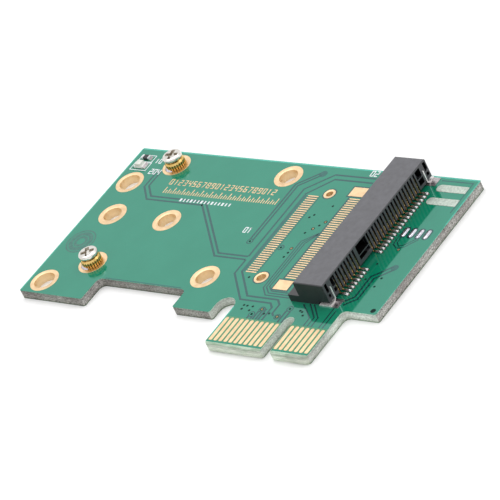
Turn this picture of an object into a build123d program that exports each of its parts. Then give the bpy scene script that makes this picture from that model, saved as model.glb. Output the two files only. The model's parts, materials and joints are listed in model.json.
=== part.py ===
"""Riser card: an expansion-slot tab at the front edge, a card socket at the right, two brass standoffs at the left.

Lengths are in millimetres. The card lies flat, +Z up, and +X runs along the row of edge fingers. While it is drawn,
X = 0 is the centre of the tab's key notch, Y = 0 the front edge of the tab and Z = 0 the top face of the board.
save() then moves every piece so that the origin is on the underside, at the middle of the board.
"""
import os
from math import atan2, cos, degrees, pi, sin

from build123d import *

# Board
board_thickness = 1.6
board_length = 70.55
board_depth = 41.4
board_right = 14.4
board_corner_chamfer = 0.25
bay_corner_radius = 1.0
copper = 0.035

# Front edge of the board, from left to right
left_lobe_width = 13.8
left_lobe_front = 5.65
bay_width = 18.8
bay_back = 10.65
middle_lobe_front = 6.6
relief_slot_width = 3.6
relief_slot_back = 10.25
tab_left = -12.15
tab_right = 8.1
shoulder_front = 10.55
key_notch_width = 1.9
key_notch_back = 7.9

# Edge tab
finger_pitch = 1.0
finger_width = 0.7
finger_front = 1.0
finger_back = 6.15
finger_end_chamfer = 0.2
first_finger = 1.5
fingers_left = 11
fingers_right = 7
bevel_length = 0.6
bevel_drop = 0.25
mask_window_margin = 0.25

# Plated holes
plating_wall = 0.06
screw_hole_wall = 0.13
ring_radius = 2.53
bracket_hole_inset = 3.32
bracket_hole_setback = 2.96
bracket_hole_spacing = 24.37
bracket_bore_radius = 1.8
gauge_hole_x = -50.64
gauge_hole_spacing = 12.0
gauge_bore_radius = 1.58
half_card_bore_radius = 1.6
ring_sides = 16
small_ring_sides = 12

# Empty second footprint
footprint_y = 25.16
fine_pitch = 0.5
fine_pad_width = 0.3
fine_pad_length = 2.1
left_row_x = -14.1
left_row_count = 37
right_row_x = -5.86
right_row_count = 38
anchor_pad_x = -6.23
anchor_pad_length = 2.85
anchor_pad_width = 2.1
anchor_pad_spacing = 21.85
peg_hole_x = -11.4
peg_hole_spacing = 19.8
small_peg_bore = 0.6
small_peg_ring = 1.05
large_peg_bore = 0.8
large_peg_ring = 1.25

# The card that the socket and the standoffs take
card_thickness = 1.0
card_underside = 1.35
card_edge_x = 1.85
card_screw_spacing = 24.2
full_card_reach = 48.05
half_card_reach = 23.85

# Socket housing
socket_y = 25.97
housing_length = 29.6
upper_jaw_reach = 2.1
lower_jaw_reach = 4.35
rear_block_depth = 3.65
upper_jaw_thickness = 1.6
jaw_wall = 0.6
housing_edge = 0.12
card_clearance = 0.05
stop_clearance = 0.15
slot_length = 25.7
slot_shift = -0.2
key_wall_width = 1.3
key_window_width = 2.7
cell_width = 0.38
cell_roof = 0.25
lower_cell_floor = 0.4
window_depth = 0.9
leg_channel_depth = 0.42
rear_bar_drop = 0.25
rear_bar_height = 0.3
rear_sill_height = 1.2
rear_undercut_height = 0.5
rear_undercut_depth = 0.7
end_slot_inset = 0.68
end_slot_width = 0.4
inner_slot_inset = 2.3
inner_slot_width = 0.5
peg_spacing = 25.0
peg_setback = 0.95
large_peg_radius = 0.8
small_peg_radius = 0.55
peg_length = 1.2
peg_clearance = 0.05

# Stamped contacts
contact_pitch = 0.8
contact_stagger = 0.4
short_group = 8
long_group = 18
key_gap = 4.0
first_contact = 12.0
end_block_length = 2.75
contact_width = 0.26
contact_thickness = 0.14
contact_bite = 0.2
bow_setback = 0.8
beam_rise = 0.4
tail_length = 1.05
tail_reach = 1.4

# Solder
solder_bed = 0.035
solder_toe = 0.25
solder_toe_height = 0.18
tail_pad_width = 0.44
tail_pad_heel = 0.15

# Hold-down clips
clip_sheet = 0.2
clip_inset = 1.38
clip_height = 2.75
clip_bend = 0.35
clip_depth = 2.1
clip_proud = 0.1
clip_overhang = 0.25
clip_clearance = 0.05
clip_pad_front = 0.2
clip_pad_rear = 1.4
clip_pad_margin = 0.3

# Standoffs and screws
standoff_radius = 1.72
standoff_seat_radius = 1.5
knurl_teeth = 20
knurl_depth = 0.13
knurl_height = 1.05
pilot_radius = 1.35
pilot_length = 1.1
pilot_clearance = 0.05
thread_radius = 0.95
thread_clearance = 0.03
screw_gap = 0.32
shank_length = 2.6
head_radius = 1.65
head_height = 0.65
head_edge = 0.15
cross_length = 1.9
cross_width = 0.42
cross_depth = 0.45
collar_solder_radius = 2.2
collar_solder_height = 0.3
collar_solder_angle = 222
collar_solder_span = 3.2

# Indicator lamp and its resistor
chip_inset = 2.7
lamp_inset = 4.35
lamp_length = 2.0
lamp_width = 1.25
lamp_base_height = 0.35
lens_length = 1.3
lens_height = 0.45
lens_draft = 8
resistor_inset = 2.45
resistor_length = 1.6
resistor_width = 0.8
resistor_height = 0.45
resistor_cap = 0.3
chip_pad_length = 0.75
chip_toe = 0.3

# Tinned option pads at the right
long_pad_x = 10.45
long_pad_length = 5.9
long_pad_width = 1.6
long_pad_front_y = 35.8
long_pad_spacing = 3.0
short_pad_x = 10.28
short_pad_y = 28.45
short_pad_length = 2.05
short_pad_width = 0.88
short_pad_pitch = 1.42
short_pads = 4
tinning = 0.14
tinning_slope = 35

# How far a cutting shape reaches past the face that it opens
beyond = 5.0

# Places that follow from those sizes
board_left = board_right - board_length
left_lobe_right = board_left + left_lobe_width
bay_right = left_lobe_right + bay_width
relief_slot_left = tab_left - relief_slot_width
standoff_x = card_edge_x - full_card_reach
half_card_hole_x = card_edge_x - half_card_reach
card_hole_ys = (socket_y - card_screw_spacing / 2, socket_y + card_screw_spacing / 2)
bracket_hole_x = board_left + bracket_hole_inset
bracket_hole_front_y = left_lobe_front + bracket_hole_setback
bracket_hole_ys = (bracket_hole_front_y, bracket_hole_front_y + bracket_hole_spacing)
chip_x = board_left + chip_inset
lamp_y = board_depth - lamp_inset
resistor_y = board_depth - resistor_inset
card_top = card_underside + card_thickness
slot_floor = card_underside - card_clearance
slot_roof = card_top + card_clearance
housing_top = slot_roof + upper_jaw_thickness
housing_front_y = socket_y - housing_length / 2
housing_back_y = socket_y + housing_length / 2
upper_jaw_x = card_edge_x - upper_jaw_reach
lower_jaw_x = card_edge_x - lower_jaw_reach
housing_rear_x = card_edge_x + rear_block_depth
slot_end_x = card_edge_x + stop_clearance
key_middle_y = socket_y - first_contact + (short_group - 1) * contact_pitch + (key_gap + contact_stagger) / 2
rear_tail_x = housing_rear_x + tail_reach
front_tail_x = lower_jaw_x - tail_reach
tail_z = copper + contact_thickness / 2


def rect(x0, x1, y0, y1):
    """A rectangle between two pairs of limits."""
    return Pos((x0 + x1) / 2, (y0 + y1) / 2) * Rectangle(x1 - x0, y1 - y0)


def block(x0, x1, y0, y1, z0, z1):
    """A box between three pairs of limits."""
    middle = Pos((x0 + x1) / 2, (y0 + y1) / 2, (z0 + z1) / 2)
    return middle * Box(x1 - x0, y1 - y0, z1 - z0)


def rod(x, y, radius, z0, z1, sides=small_ring_sides):
    """An upright prism between two heights, with enough sides to stand for a small round one."""
    return Pos(x, y, z0) * extrude(RegularPolygon(radius, sides), amount=z1 - z0)


def prism_along_y(points, y, width):
    """A solid whose section lies in XZ and which is centred on y."""
    corners = [(x, y - width / 2, z) for x, z in points]
    return extrude(make_face(Polyline(*corners, close=True)), amount=width, dir=(0, 1, 0))


def prism_along_x(points, x0, x1):
    """A solid whose section lies in YZ, between two places on X."""
    corners = [(x0, y, z) for y, z in points]
    return extrude(make_face(Polyline(*corners, close=True)), amount=x1 - x0, dir=(1, 0, 0))


def strip_outline(line, thickness):
    """The closed outline of a bent sheet of even thickness, from the points of its middle line."""
    points = [Vector(a, b, 0) for a, b in line]
    sides = []
    for index, point in enumerate(points):
        before = (point - points[index - 1]).normalized() if index > 0 else None
        after = (points[index + 1] - point).normalized() if index < len(points) - 1 else None
        along = ((before or after) + (after or before)).normalized()
        straight = before or after
        stretch = 1 / (along.X * straight.X + along.Y * straight.Y)
        sides.append(Vector(-along.Y, along.X, 0) * (thickness / 2 * stretch))
    left = [tuple(p + s)[:2] for p, s in zip(points, sides)]
    right = [tuple(p - s)[:2] for p, s in zip(points, sides)]
    return left + right[::-1]


def contact_ys(shift):
    """The places of one row of contacts: a short group, the key's gap and a long group, clear of the end blocks."""
    first = socket_y - first_contact + shift
    second = first + (short_group - 1) * contact_pitch + key_gap
    starts = [(first, short_group), (second, long_group)]
    places = [start + contact_pitch * k for start, count in starts for k in range(count)]
    room = housing_length / 2 - end_block_length
    return [y for y in places if abs(y - socket_y) <= room]


upper_ys = contact_ys(0)
lower_ys = contact_ys(contact_stagger)


def finger_xs():
    """The middle of each edge finger."""
    left = [-first_finger - finger_pitch * k for k in range(fingers_left)]
    right = [first_finger + finger_pitch * k for k in range(fingers_right)]
    return left + right


def row_ys(count):
    """The places of one row of fine pads, centred on the footprint."""
    return [footprint_y + fine_pitch * (k - (count - 1) / 2) for k in range(count)]


# Each screw hole: node, x, y, bore radius
screw_holes = [
    ("bracket_hole_front", bracket_hole_x, bracket_hole_ys[0], bracket_bore_radius),
    ("bracket_hole_back", bracket_hole_x, bracket_hole_ys[1], bracket_bore_radius),
    ("gauge_hole_left", gauge_hole_x, footprint_y, gauge_bore_radius),
    ("gauge_hole_right", gauge_hole_x + gauge_hole_spacing, footprint_y, gauge_bore_radius),
    ("half_card_hole_front", half_card_hole_x, card_hole_ys[0], half_card_bore_radius),
    ("half_card_hole_back", half_card_hole_x, card_hole_ys[1], half_card_bore_radius),
]

# Each locating hole of the empty footprint: node, y, bore radius, ring radius
peg_holes = [
    ("peg_hole_front", footprint_y - peg_hole_spacing / 2, large_peg_bore, large_peg_ring),
    ("peg_hole_back", footprint_y + peg_hole_spacing / 2, small_peg_bore, small_peg_ring),
]
socket_pegs = [
    (socket_y - peg_spacing / 2, small_peg_radius),
    (socket_y + peg_spacing / 2, large_peg_radius),
]
peg_x = card_edge_x - peg_setback


def board_outline():
    """The board seen from above: three lobes, a bay, a relief slot, the tab with its key notch and a shoulder."""
    outline = rect(board_left, board_right, 0, board_depth)
    outline -= rect(board_left, left_lobe_right, 0, left_lobe_front)
    outline -= rect(left_lobe_right, bay_right, 0, bay_back)
    outline -= rect(bay_right, relief_slot_left, 0, middle_lobe_front)
    outline -= rect(tab_right, board_right, 0, shoulder_front)
    inner = [(left_lobe_right, bay_back), (bay_right, bay_back), (tab_right, shoulder_front)]
    outer = [
        (board_left, board_depth),
        (board_right, board_depth),
        (board_right, shoulder_front),
        (board_left, left_lobe_front),
        (left_lobe_right, left_lobe_front),
        (bay_right, middle_lobe_front),
        (relief_slot_left, middle_lobe_front),
    ]
    slot_middle = relief_slot_left + relief_slot_width / 2
    slot_turn = relief_slot_back - relief_slot_width / 2
    outline -= rect(relief_slot_left, tab_left, 0, slot_turn)
    outline -= Pos(slot_middle, slot_turn) * RegularPolygon(relief_slot_width / 2, ring_sides)
    outline -= rect(-key_notch_width / 2, key_notch_width / 2, 0, key_notch_back - key_notch_width / 2)
    outline -= Pos(0, key_notch_back - key_notch_width / 2) * RegularPolygon(key_notch_width / 2, ring_sides)
    outline = fillet(corners_at(outline, inner), bay_corner_radius)
    return chamfer(corners_at(outline, outer), board_corner_chamfer)


def corners_at(shape, places):
    """The corners of a flat shape that lie at the given places."""
    def is_wanted(corner):
        return any(abs(corner.X - x) < 1e-4 and abs(corner.Y - y) < 1e-4 for x, y in places)
    return [corner for corner in shape.vertices() if is_wanted(corner)]


def circuit_board():
    """The laminate with its mask: outline, bevelled tab, mask windows over the fingers, drilled holes."""
    board = extrude(board_outline(), amount=-board_thickness)
    bottom = -board_thickness
    tools = []
    for face, inward in ((0, -1), (bottom, 1)):
        bevel = [(-beyond, face - inward * beyond), (bevel_length, face - inward * beyond), (bevel_length, face)]
        bevel += [(0, face + inward * bevel_drop), (-beyond, face + inward * bevel_drop)]
        tools.append(prism_along_x(bevel, tab_left - relief_slot_width / 2, tab_right + beyond))
        window_back = finger_back + mask_window_margin
        levels = sorted((face, face + inward * copper))
        tools.append(block(tab_left, tab_right, -beyond, window_back, *levels))
    for _, x, y, bore in screw_holes:
        tools.append(rod(x, y, bore + screw_hole_wall, bottom, 0, ring_sides))
    for _, y, bore, _ in peg_holes:
        tools.append(rod(peg_hole_x, y, bore + plating_wall, bottom, 0))
    for y in card_hole_ys:
        tools.append(rod(standoff_x, y, pilot_radius + pilot_clearance, bottom, 0, ring_sides))
    for y, radius in socket_pegs:
        tools.append(rod(peg_x, y, radius + peg_clearance, bottom, 0))
    return board - tools


def edge_fingers(face, inward):
    """The gold fingers on one face of the tab, eased where they meet the slot first, in the mask window."""
    outline = Rectangle(finger_width, finger_back - finger_front)
    leading = outline.vertices().group_by(Axis.Y)[0]
    finger = extrude(chamfer(leading, finger_end_chamfer), amount=copper)
    base = min(face, face + inward * copper)
    middle = (finger_front + finger_back) / 2
    return [Pos(x, middle, base) * finger for x in finger_xs()]


def screw_hole(x, y, bore):
    """Copper barrel of a screw hole: a round bore, flush with the underside, and a flat ring on the top."""
    bottom = -board_thickness
    barrel = rod(x, y, bore + screw_hole_wall, bottom, copper, ring_sides)
    barrel += rod(x, y, ring_radius, 0, copper, ring_sides)
    return [barrel - Pos(x, y, (bottom + copper) / 2) * Cylinder(bore, copper - bottom)]


def peg_hole(y, bore, ring):
    """Copper barrel and ring of one of the footprint's small locating holes."""
    barrel = rod(peg_hole_x, y, bore + plating_wall, -board_thickness, copper)
    barrel += rod(peg_hole_x, y, ring, 0, copper)
    return [barrel - rod(peg_hole_x, y, bore, -board_thickness, copper)]


def standoff_ring(y):
    """The flat ring that a standoff is soldered to."""
    hole = rod(standoff_x, y, pilot_radius + pilot_clearance, 0, copper, ring_sides)
    return [rod(standoff_x, y, ring_radius, 0, copper, ring_sides) - hole]


def copper_pads(places, length, width):
    """Flat rectangular pads on the board's top, all alike."""
    pad = extrude(Rectangle(length, width), amount=copper)
    return [Pos(x, y, 0) * pad for x, y in places]


def upper_cell(y):
    """What one rear contact needs cut from the housing: a spring tunnel open to the rear, and a leg channel."""
    side = cell_width / 2
    rear = housing_rear_x + beyond
    channel_x = housing_rear_x - leg_channel_depth
    return [
        block(upper_jaw_x + jaw_wall, rear, y - side, y + side, slot_roof - card_clearance, housing_top - cell_roof),
        block(channel_x, rear, y - side, y + side, -beyond, slot_roof),
    ]


def lower_cell(y):
    """What one front contact needs cut from the housing: a trough open to the card slot and a leg channel."""
    side = cell_width / 2
    front = lower_jaw_x - beyond
    channel_x = lower_jaw_x + leg_channel_depth
    return [
        block(front, slot_end_x, y - side, y + side, lower_cell_floor, slot_floor + card_clearance),
        block(front, channel_x, y - side, y + side, -beyond, lower_cell_floor),
    ]


def card_slot():
    """The slot between the jaws, in two parts with the key wall left between them."""
    middle = socket_y + slot_shift
    front = lower_jaw_x - beyond
    key_low = key_middle_y - key_wall_width / 2
    key_high = key_middle_y + key_wall_width / 2
    return [
        block(front, slot_end_x, middle - slot_length / 2, key_low, slot_floor, slot_roof),
        block(front, slot_end_x, key_high, middle + slot_length / 2, slot_floor, slot_roof),
    ]


def rear_windows():
    """The coring windows of the rear wall at the key and in the two end blocks."""
    rear = housing_rear_x + beyond
    pocket_x = housing_rear_x - window_depth
    bar_top = slot_roof - rear_bar_drop
    bar_bottom = bar_top - rear_bar_height
    upper = (bar_top, housing_top - cell_roof)
    lower = (rear_sill_height, bar_bottom)
    spans = [(key_middle_y, key_window_width)]
    for end, inward in ((housing_front_y, 1), (housing_back_y, -1)):
        spans.append((end + inward * end_slot_inset, end_slot_width))
        spans.append((end + inward * inner_slot_inset, inner_slot_width))
    tools = []
    for middle, width in spans:
        for low, high in (upper, lower):
            tools.append(block(pocket_x, rear, middle - width / 2, middle + width / 2, low, high))
    return tools


def clip_places():
    """For each end of the socket: the end's place, the direction inward and the middle of the clip's blade."""
    return [
        (housing_front_y, 1, housing_front_y + clip_inset),
        (housing_back_y, -1, housing_back_y - clip_inset),
    ]


def clip_seats():
    """The blade slots and the pockets for the clips' feet in the two end blocks."""
    tools = []
    rear = housing_rear_x + beyond
    blade_front = housing_rear_x - clip_depth - clip_clearance
    foot_front = blade_front - clip_pad_front
    half = clip_sheet / 2 + clip_clearance
    foot_top = copper + solder_bed + clip_sheet + clip_bend
    for end, inward, blade in clip_places():
        tools.append(block(blade_front, rear, blade - half, blade + half, -beyond, clip_height + clip_clearance))
        outer, inner = sorted((end - inward * beyond, blade + inward * (clip_pad_margin + clip_clearance)))
        tools.append(block(foot_front, rear, outer, inner, -beyond, foot_top))
    return tools


def connector_housing():
    """The moulded socket body: a stepped block with the card slot, contact cells, windows, clip seats and pegs."""
    ends = (housing_front_y, housing_back_y)
    body = block(upper_jaw_x, housing_rear_x, *ends, 0, housing_top)
    long_edges = body.edges().filter_by(Axis.Y).group_by(Axis.Z)[-1]
    end_edges = body.edges().filter_by(Axis.X).group_by(Axis.Z)[-1]
    body = chamfer(list(long_edges) + list(end_edges), housing_edge)
    body += block(lower_jaw_x, housing_rear_x, *ends, 0, slot_floor)
    undercut_x = housing_rear_x - rear_undercut_depth
    tools = [block(undercut_x, housing_rear_x + beyond, ends[0], ends[1], -beyond, rear_undercut_height)]
    for y in upper_ys:
        tools += upper_cell(y)
    for y in lower_ys:
        tools += lower_cell(y)
    tools += card_slot() + rear_windows() + clip_seats()
    body -= tools
    for y, radius in socket_pegs:
        body += rod(peg_x, y, radius, -peg_length, lower_cell_floor / 2)
    return body


def upper_contact_line():
    """The middle line of a rear contact: spring bow over the card, beam, leg down the rear wall, tail."""
    leg_x = housing_rear_x - leg_channel_depth / 2
    beam_z = slot_roof + beam_rise
    bow_x = card_edge_x - bow_setback
    bow_z = card_top - contact_bite + contact_thickness / 2
    return [
        (upper_jaw_x + jaw_wall + contact_thickness, slot_roof + beam_rise / 2),
        (bow_x, bow_z),
        (slot_end_x, beam_z),
        (leg_x, beam_z),
        (leg_x, rear_undercut_height),
        (rear_tail_x - tail_length, tail_z),
        (rear_tail_x, tail_z),
    ]


def lower_contact_line():
    """The middle line of a front contact: tail, leg up the front face, beam in the lower jaw, spring bow."""
    leg_x = lower_jaw_x + leg_channel_depth / 2
    beam_z = (lower_cell_floor + slot_floor) / 2
    bow_x = card_edge_x - bow_setback
    bow_z = card_underside + contact_bite - contact_thickness / 2
    return [
        (front_tail_x, tail_z),
        (front_tail_x + tail_length, tail_z),
        (leg_x, beam_z),
        (bow_x - bow_setback, beam_z),
        (bow_x, bow_z),
        (slot_end_x - contact_thickness - card_clearance, beam_z),
    ]


def contacts(line, ys):
    """One row of identical stamped contacts."""
    first = prism_along_y(strip_outline(line, contact_thickness), 0, contact_width)
    return [Pos(0, y, 0) * first for y in ys]


def solder_joint(inner, end, toe, rise, y, width):
    """Solder between a pad and what lies on it, with a fillet that climbs its end face. It may point either way."""
    bed = copper + solder_bed
    section = [(inner, copper), (toe, copper), (end, bed + rise), (end, bed), (inner, bed)]
    return prism_along_y(section, y, width)


def tail_joints(tip, outward, ys):
    """The tinned pads under one row of tails, each with the solder fillet that climbs its tail's tip."""
    heel = tip - outward * (tail_length + tail_pad_heel)
    toe = tip + outward * solder_toe
    section = [(heel, 0), (toe, 0), (tip, copper + solder_toe_height), (tip, copper), (heel, copper)]
    first = prism_along_y(section, 0, tail_pad_width)
    return [Pos(0, y, 0) * first for y in ys]


def hold_down(end, inward, blade):
    """A bent sheet clip: its foot is soldered beside the socket's end and its blade stands in the end block."""
    foot_z = copper + solder_bed + clip_sheet / 2
    line = [
        (end - inward * clip_overhang, foot_z),
        (blade - inward * clip_bend, foot_z),
        (blade, foot_z + clip_bend),
        (blade, clip_height),
    ]
    return [prism_along_x(strip_outline(line, clip_sheet), housing_rear_x - clip_depth, housing_rear_x + clip_proud)]


def hold_down_areas():
    """The limits of each clip's pad on the board."""
    left = housing_rear_x - clip_depth - clip_pad_front
    right = housing_rear_x + clip_pad_rear
    areas = []
    for end, inward, blade in clip_places():
        outer = end - inward * clip_overhang
        areas.append((left, right, *sorted((outer, blade + inward * clip_pad_margin))))
    return areas


def hold_down_pads():
    """The copper under the clips' feet."""
    return [extrude(rect(*area), amount=copper) for area in hold_down_areas()]


def hold_down_solder():
    """The thin tinned bed on the clips' pads."""
    return [Pos(0, 0, copper) * extrude(rect(*area), amount=solder_bed) for area in hold_down_areas()]


def knurl(radius, depth, teeth, z0, z1):
    """A straight-knurled ring as a star-shaped prism."""
    points = []
    for k in range(2 * teeth):
        angle = pi * k / teeth
        reach = radius if k % 2 == 0 else radius - depth
        points.append((reach * cos(angle), reach * sin(angle)))
    return Pos(0, 0, z0) * extrude(make_face(Polyline(*points, close=True)), amount=z1 - z0)


def standoff(x, y):
    """A threaded brass standoff: pilot in the board, knurled body, narrower seat for the card."""
    body = knurl(standoff_radius, knurl_depth, knurl_teeth, copper, knurl_height)
    seat_base = standoff_radius - knurl_depth
    rise = card_underside - knurl_height
    draft = atan2(seat_base - standoff_seat_radius, rise)
    cone = Pos(0, 0, knurl_height) * extrude(RegularPolygon(seat_base, ring_sides), amount=rise, taper=degrees(draft))
    body += cone
    body += rod(0, 0, pilot_radius, -pilot_length, copper, ring_sides)
    body -= rod(0, 0, thread_radius + thread_clearance, -pilot_length, card_underside)
    return [Pos(x, y, 0) * body]


def collar_solder(x, y):
    """The solder fillet that climbs the standoff on its outer side: part of a low cone around it."""
    draft = atan2(collar_solder_radius - standoff_radius, collar_solder_height)
    wide = RegularPolygon(collar_solder_radius, ring_sides)
    ring = Pos(0, 0, copper) * extrude(wide, amount=collar_solder_height, taper=degrees(draft))
    ring -= rod(0, 0, standoff_radius / cos(pi / ring_sides), 0, beyond, ring_sides)
    side = Pos(collar_solder_radius, 0, 0) * Box(2 * collar_solder_radius, collar_solder_span, beyond)
    return [Pos(x, y, 0) * Rot(0, 0, collar_solder_angle) * (ring & side)]


def screw(x, y):
    """A small pan-head screw with a cross recess, one turn short of clamping."""
    under = card_underside + screw_gap
    head = rod(0, 0, head_radius, under, under + head_height, ring_sides)
    head = chamfer(head.edges().group_by(Axis.Z)[-1], head_edge)
    arm = Rectangle(cross_length, cross_width) + Rectangle(cross_width, cross_length)
    head -= Pos(0, 0, under + head_height) * extrude(arm, amount=-cross_depth)
    head += rod(0, 0, thread_radius, under - shank_length, under)
    return [Pos(x, y, 0) * head]


def lamp_base():
    """The white moulded base of the indicator lamp."""
    floor = copper + solder_bed
    return [Pos(chip_x, lamp_y, floor + lamp_base_height / 2) * Box(lamp_length, lamp_width, lamp_base_height)]


def lamp_lens():
    """The clear resin block on the lamp's base, with drafted sides."""
    face = Pos(chip_x, lamp_y, copper + solder_bed + lamp_base_height) * Rectangle(lens_length, lamp_width)
    return [extrude(face, amount=lens_height, taper=lens_draft)]


def resistor_body():
    """The resistor's ceramic body between its end caps."""
    core = resistor_length - 2 * resistor_cap
    floor = copper + solder_bed
    return [Pos(chip_x, resistor_y, floor + resistor_height / 2) * Box(core, resistor_width, resistor_height)]


def resistor_caps():
    """The two tinned ends of the resistor."""
    floor = copper + solder_bed
    offset = (resistor_length - resistor_cap) / 2
    cap = Box(resistor_cap, resistor_width, resistor_height)
    return [Pos(chip_x + side * offset, resistor_y, floor + resistor_height / 2) * cap for side in (-1, 1)]


def chip_pads(y, length, width):
    """The two pads of a chip part, reaching past its ends."""
    offset = length / 2 + chip_toe - chip_pad_length / 2
    return copper_pads([(chip_x - offset, y), (chip_x + offset, y)], chip_pad_length, width)


def chip_solder(y, length, width, rise):
    """The two joints of a chip part."""
    joints = []
    for side in (-1, 1):
        end = chip_x + side * length / 2
        toe = end + side * chip_toe
        joints.append(solder_joint(toe - side * chip_pad_length, end, toe, rise, y, width))
    return joints


def tinned(outline, x, y):
    """A pad with a low cushion of solder on it."""
    return Pos(x, y, 0) * extrude(outline, amount=tinning, taper=tinning_slope)


def long_pads():
    """Two long tinned pads, each eased at its left end."""
    shape = Rectangle(long_pad_length, long_pad_width)
    shape = chamfer(shape.vertices().group_by(Axis.X)[0], long_pad_width / 3)
    return [tinned(shape, long_pad_x, long_pad_front_y + long_pad_spacing * k) for k in range(2)]


def small_pads():
    """Four short tinned pads side by side, with eased ends."""
    shape = Rectangle(short_pad_width, short_pad_length)
    shape = chamfer(shape.vertices(), short_pad_width / 4)
    first = short_pad_x - short_pad_pitch * (short_pads - 1) / 2
    return [tinned(shape, first + short_pad_pitch * k, short_pad_y) for k in range(short_pads)]


def save(name, solids):
    """Write one node, moved to the part's own origin."""
    home = Pos(-(board_left + board_right) / 2, -board_depth / 2, board_thickness)
    moved = [home * solid for solid in solids]
    whole = moved[0] if len(moved) == 1 else Compound(children=moved)
    export_step(whole, os.path.join("parts", name + ".step"))


def build():
    """Every piece of the riser card."""
    left_row = [(left_row_x, y) for y in row_ys(left_row_count)]
    right_row = [(right_row_x, y) for y in row_ys(right_row_count)]
    anchor_ys = (footprint_y - anchor_pad_spacing / 2, footprint_y + anchor_pad_spacing / 2)
    save("circuit_board", [circuit_board()])
    save("edge_fingers_top", edge_fingers(0, -1))
    save("edge_fingers_bottom", edge_fingers(-board_thickness, 1))
    for name, *hole in screw_holes:
        save(name, screw_hole(*hole))
    for name, *hole in peg_holes:
        save(name, peg_hole(*hole))
    save("footprint_pads_left", copper_pads(left_row, fine_pad_length, fine_pad_width))
    save("footprint_pads_right", copper_pads(right_row, fine_pad_length, fine_pad_width))
    save("footprint_anchor_pads", copper_pads([(anchor_pad_x, y) for y in anchor_ys], anchor_pad_length,
                                              anchor_pad_width))
    save("connector_housing", [connector_housing()])
    save("upper_contacts", contacts(upper_contact_line(), upper_ys))
    save("lower_contacts", contacts(lower_contact_line(), lower_ys))
    save("upper_contact_solder", tail_joints(rear_tail_x, 1, upper_ys))
    save("lower_contact_solder", tail_joints(front_tail_x, -1, lower_ys))
    front_clip, back_clip = clip_places()
    save("hold_down_front", hold_down(*front_clip))
    save("hold_down_back", hold_down(*back_clip))
    save("hold_down_pads", hold_down_pads())
    save("hold_down_solder", hold_down_solder())
    for end, y in zip(("front", "back"), card_hole_ys):
        save("standoff_ring_" + end, standoff_ring(y))
        save("standoff_" + end, standoff(standoff_x, y))
        save("standoff_solder_" + end, collar_solder(standoff_x, y))
        save("screw_" + end, screw(standoff_x, y))
    save("lamp_base", lamp_base())
    save("lamp_lens", lamp_lens())
    save("lamp_pads", chip_pads(lamp_y, lamp_length, lamp_width))
    save("lamp_solder", chip_solder(lamp_y, lamp_length, lamp_width, lamp_base_height))
    save("resistor_body", resistor_body())
    save("resistor_caps", resistor_caps())
    save("resistor_pads", chip_pads(resistor_y, resistor_length, resistor_width))
    save("resistor_solder", chip_solder(resistor_y, resistor_length, resistor_width, resistor_height / 2))
    save("long_tinned_pads", long_pads())
    save("short_tinned_pads", small_pads())


os.makedirs("parts", exist_ok=True)
build()
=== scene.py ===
"""Looks of the riser card: finishes, traces, print, solder and turned parts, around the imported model.

Places are given as on the card's drawing, in millimetres: X = 0 at the middle of the tab's key notch,
Y = 0 at the tab's front edge and Z = 0 at the board's top face. at() turns them into metres in the frame.
"""
import json
from math import atan2, cos, pi, radians, sin, sqrt, tan

import bmesh
import bpy
from mathutils import Matrix, Vector


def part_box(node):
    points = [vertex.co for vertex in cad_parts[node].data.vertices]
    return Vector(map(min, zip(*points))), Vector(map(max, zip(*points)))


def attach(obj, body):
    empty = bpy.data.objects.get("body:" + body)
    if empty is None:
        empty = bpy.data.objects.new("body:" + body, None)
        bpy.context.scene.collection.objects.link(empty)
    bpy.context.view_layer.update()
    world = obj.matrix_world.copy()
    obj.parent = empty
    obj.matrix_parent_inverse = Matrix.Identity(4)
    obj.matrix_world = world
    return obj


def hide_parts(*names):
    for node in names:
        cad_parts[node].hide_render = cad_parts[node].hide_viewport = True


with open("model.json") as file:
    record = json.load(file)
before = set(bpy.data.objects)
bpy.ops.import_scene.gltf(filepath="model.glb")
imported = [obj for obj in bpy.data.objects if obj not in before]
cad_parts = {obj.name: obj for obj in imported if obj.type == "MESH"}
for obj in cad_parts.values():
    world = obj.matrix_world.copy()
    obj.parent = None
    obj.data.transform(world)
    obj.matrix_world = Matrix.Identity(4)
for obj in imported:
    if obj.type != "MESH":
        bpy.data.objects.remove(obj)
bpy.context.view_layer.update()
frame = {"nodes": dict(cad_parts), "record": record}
nodes = frame["nodes"]

MM = 0.001
tab_mount = next(m for m in frame["record"]["mounts"] if m["name"] == "edge_tab")["pos_m"]
board_top = 2 * tab_mount[2]
board_thickness = board_top / MM

# Camera
view_azimuth = 51.2097
view_elevation = 32.6036
view_roll = 27.0
view_distance = 0.52217
view_aim = (0.003165, 0.00011, 0.0016)
lens = 242.244
sensor = 36.0

# Light and floor
dome_strength = 0.95
key_place, key_size, key_power = (-0.35, 0.25, 0.75), 0.45, 1.6
fill_place, fill_size, fill_power = (0.6, 0.4, 0.5), 0.5, 0.7
floor_half, floor_drop, floor_lift = 3.0, 0.00002, 0.15

# Thin layers on the board's faces
gap_lift = 0.004
window_lift, spot_lift, bed_lift = gap_lift * 0.5, gap_lift * 0.6, gap_lift * 0.75
line_lift, ring_lift, via_lift, via_rim_lift = gap_lift * 1.1, gap_lift * 1.2, gap_lift * 1.5, gap_lift * 2.2
print_lift = 0.012
copper = 0.035
underside_lift = 0.006
underside = -board_thickness + underside_lift

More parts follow.
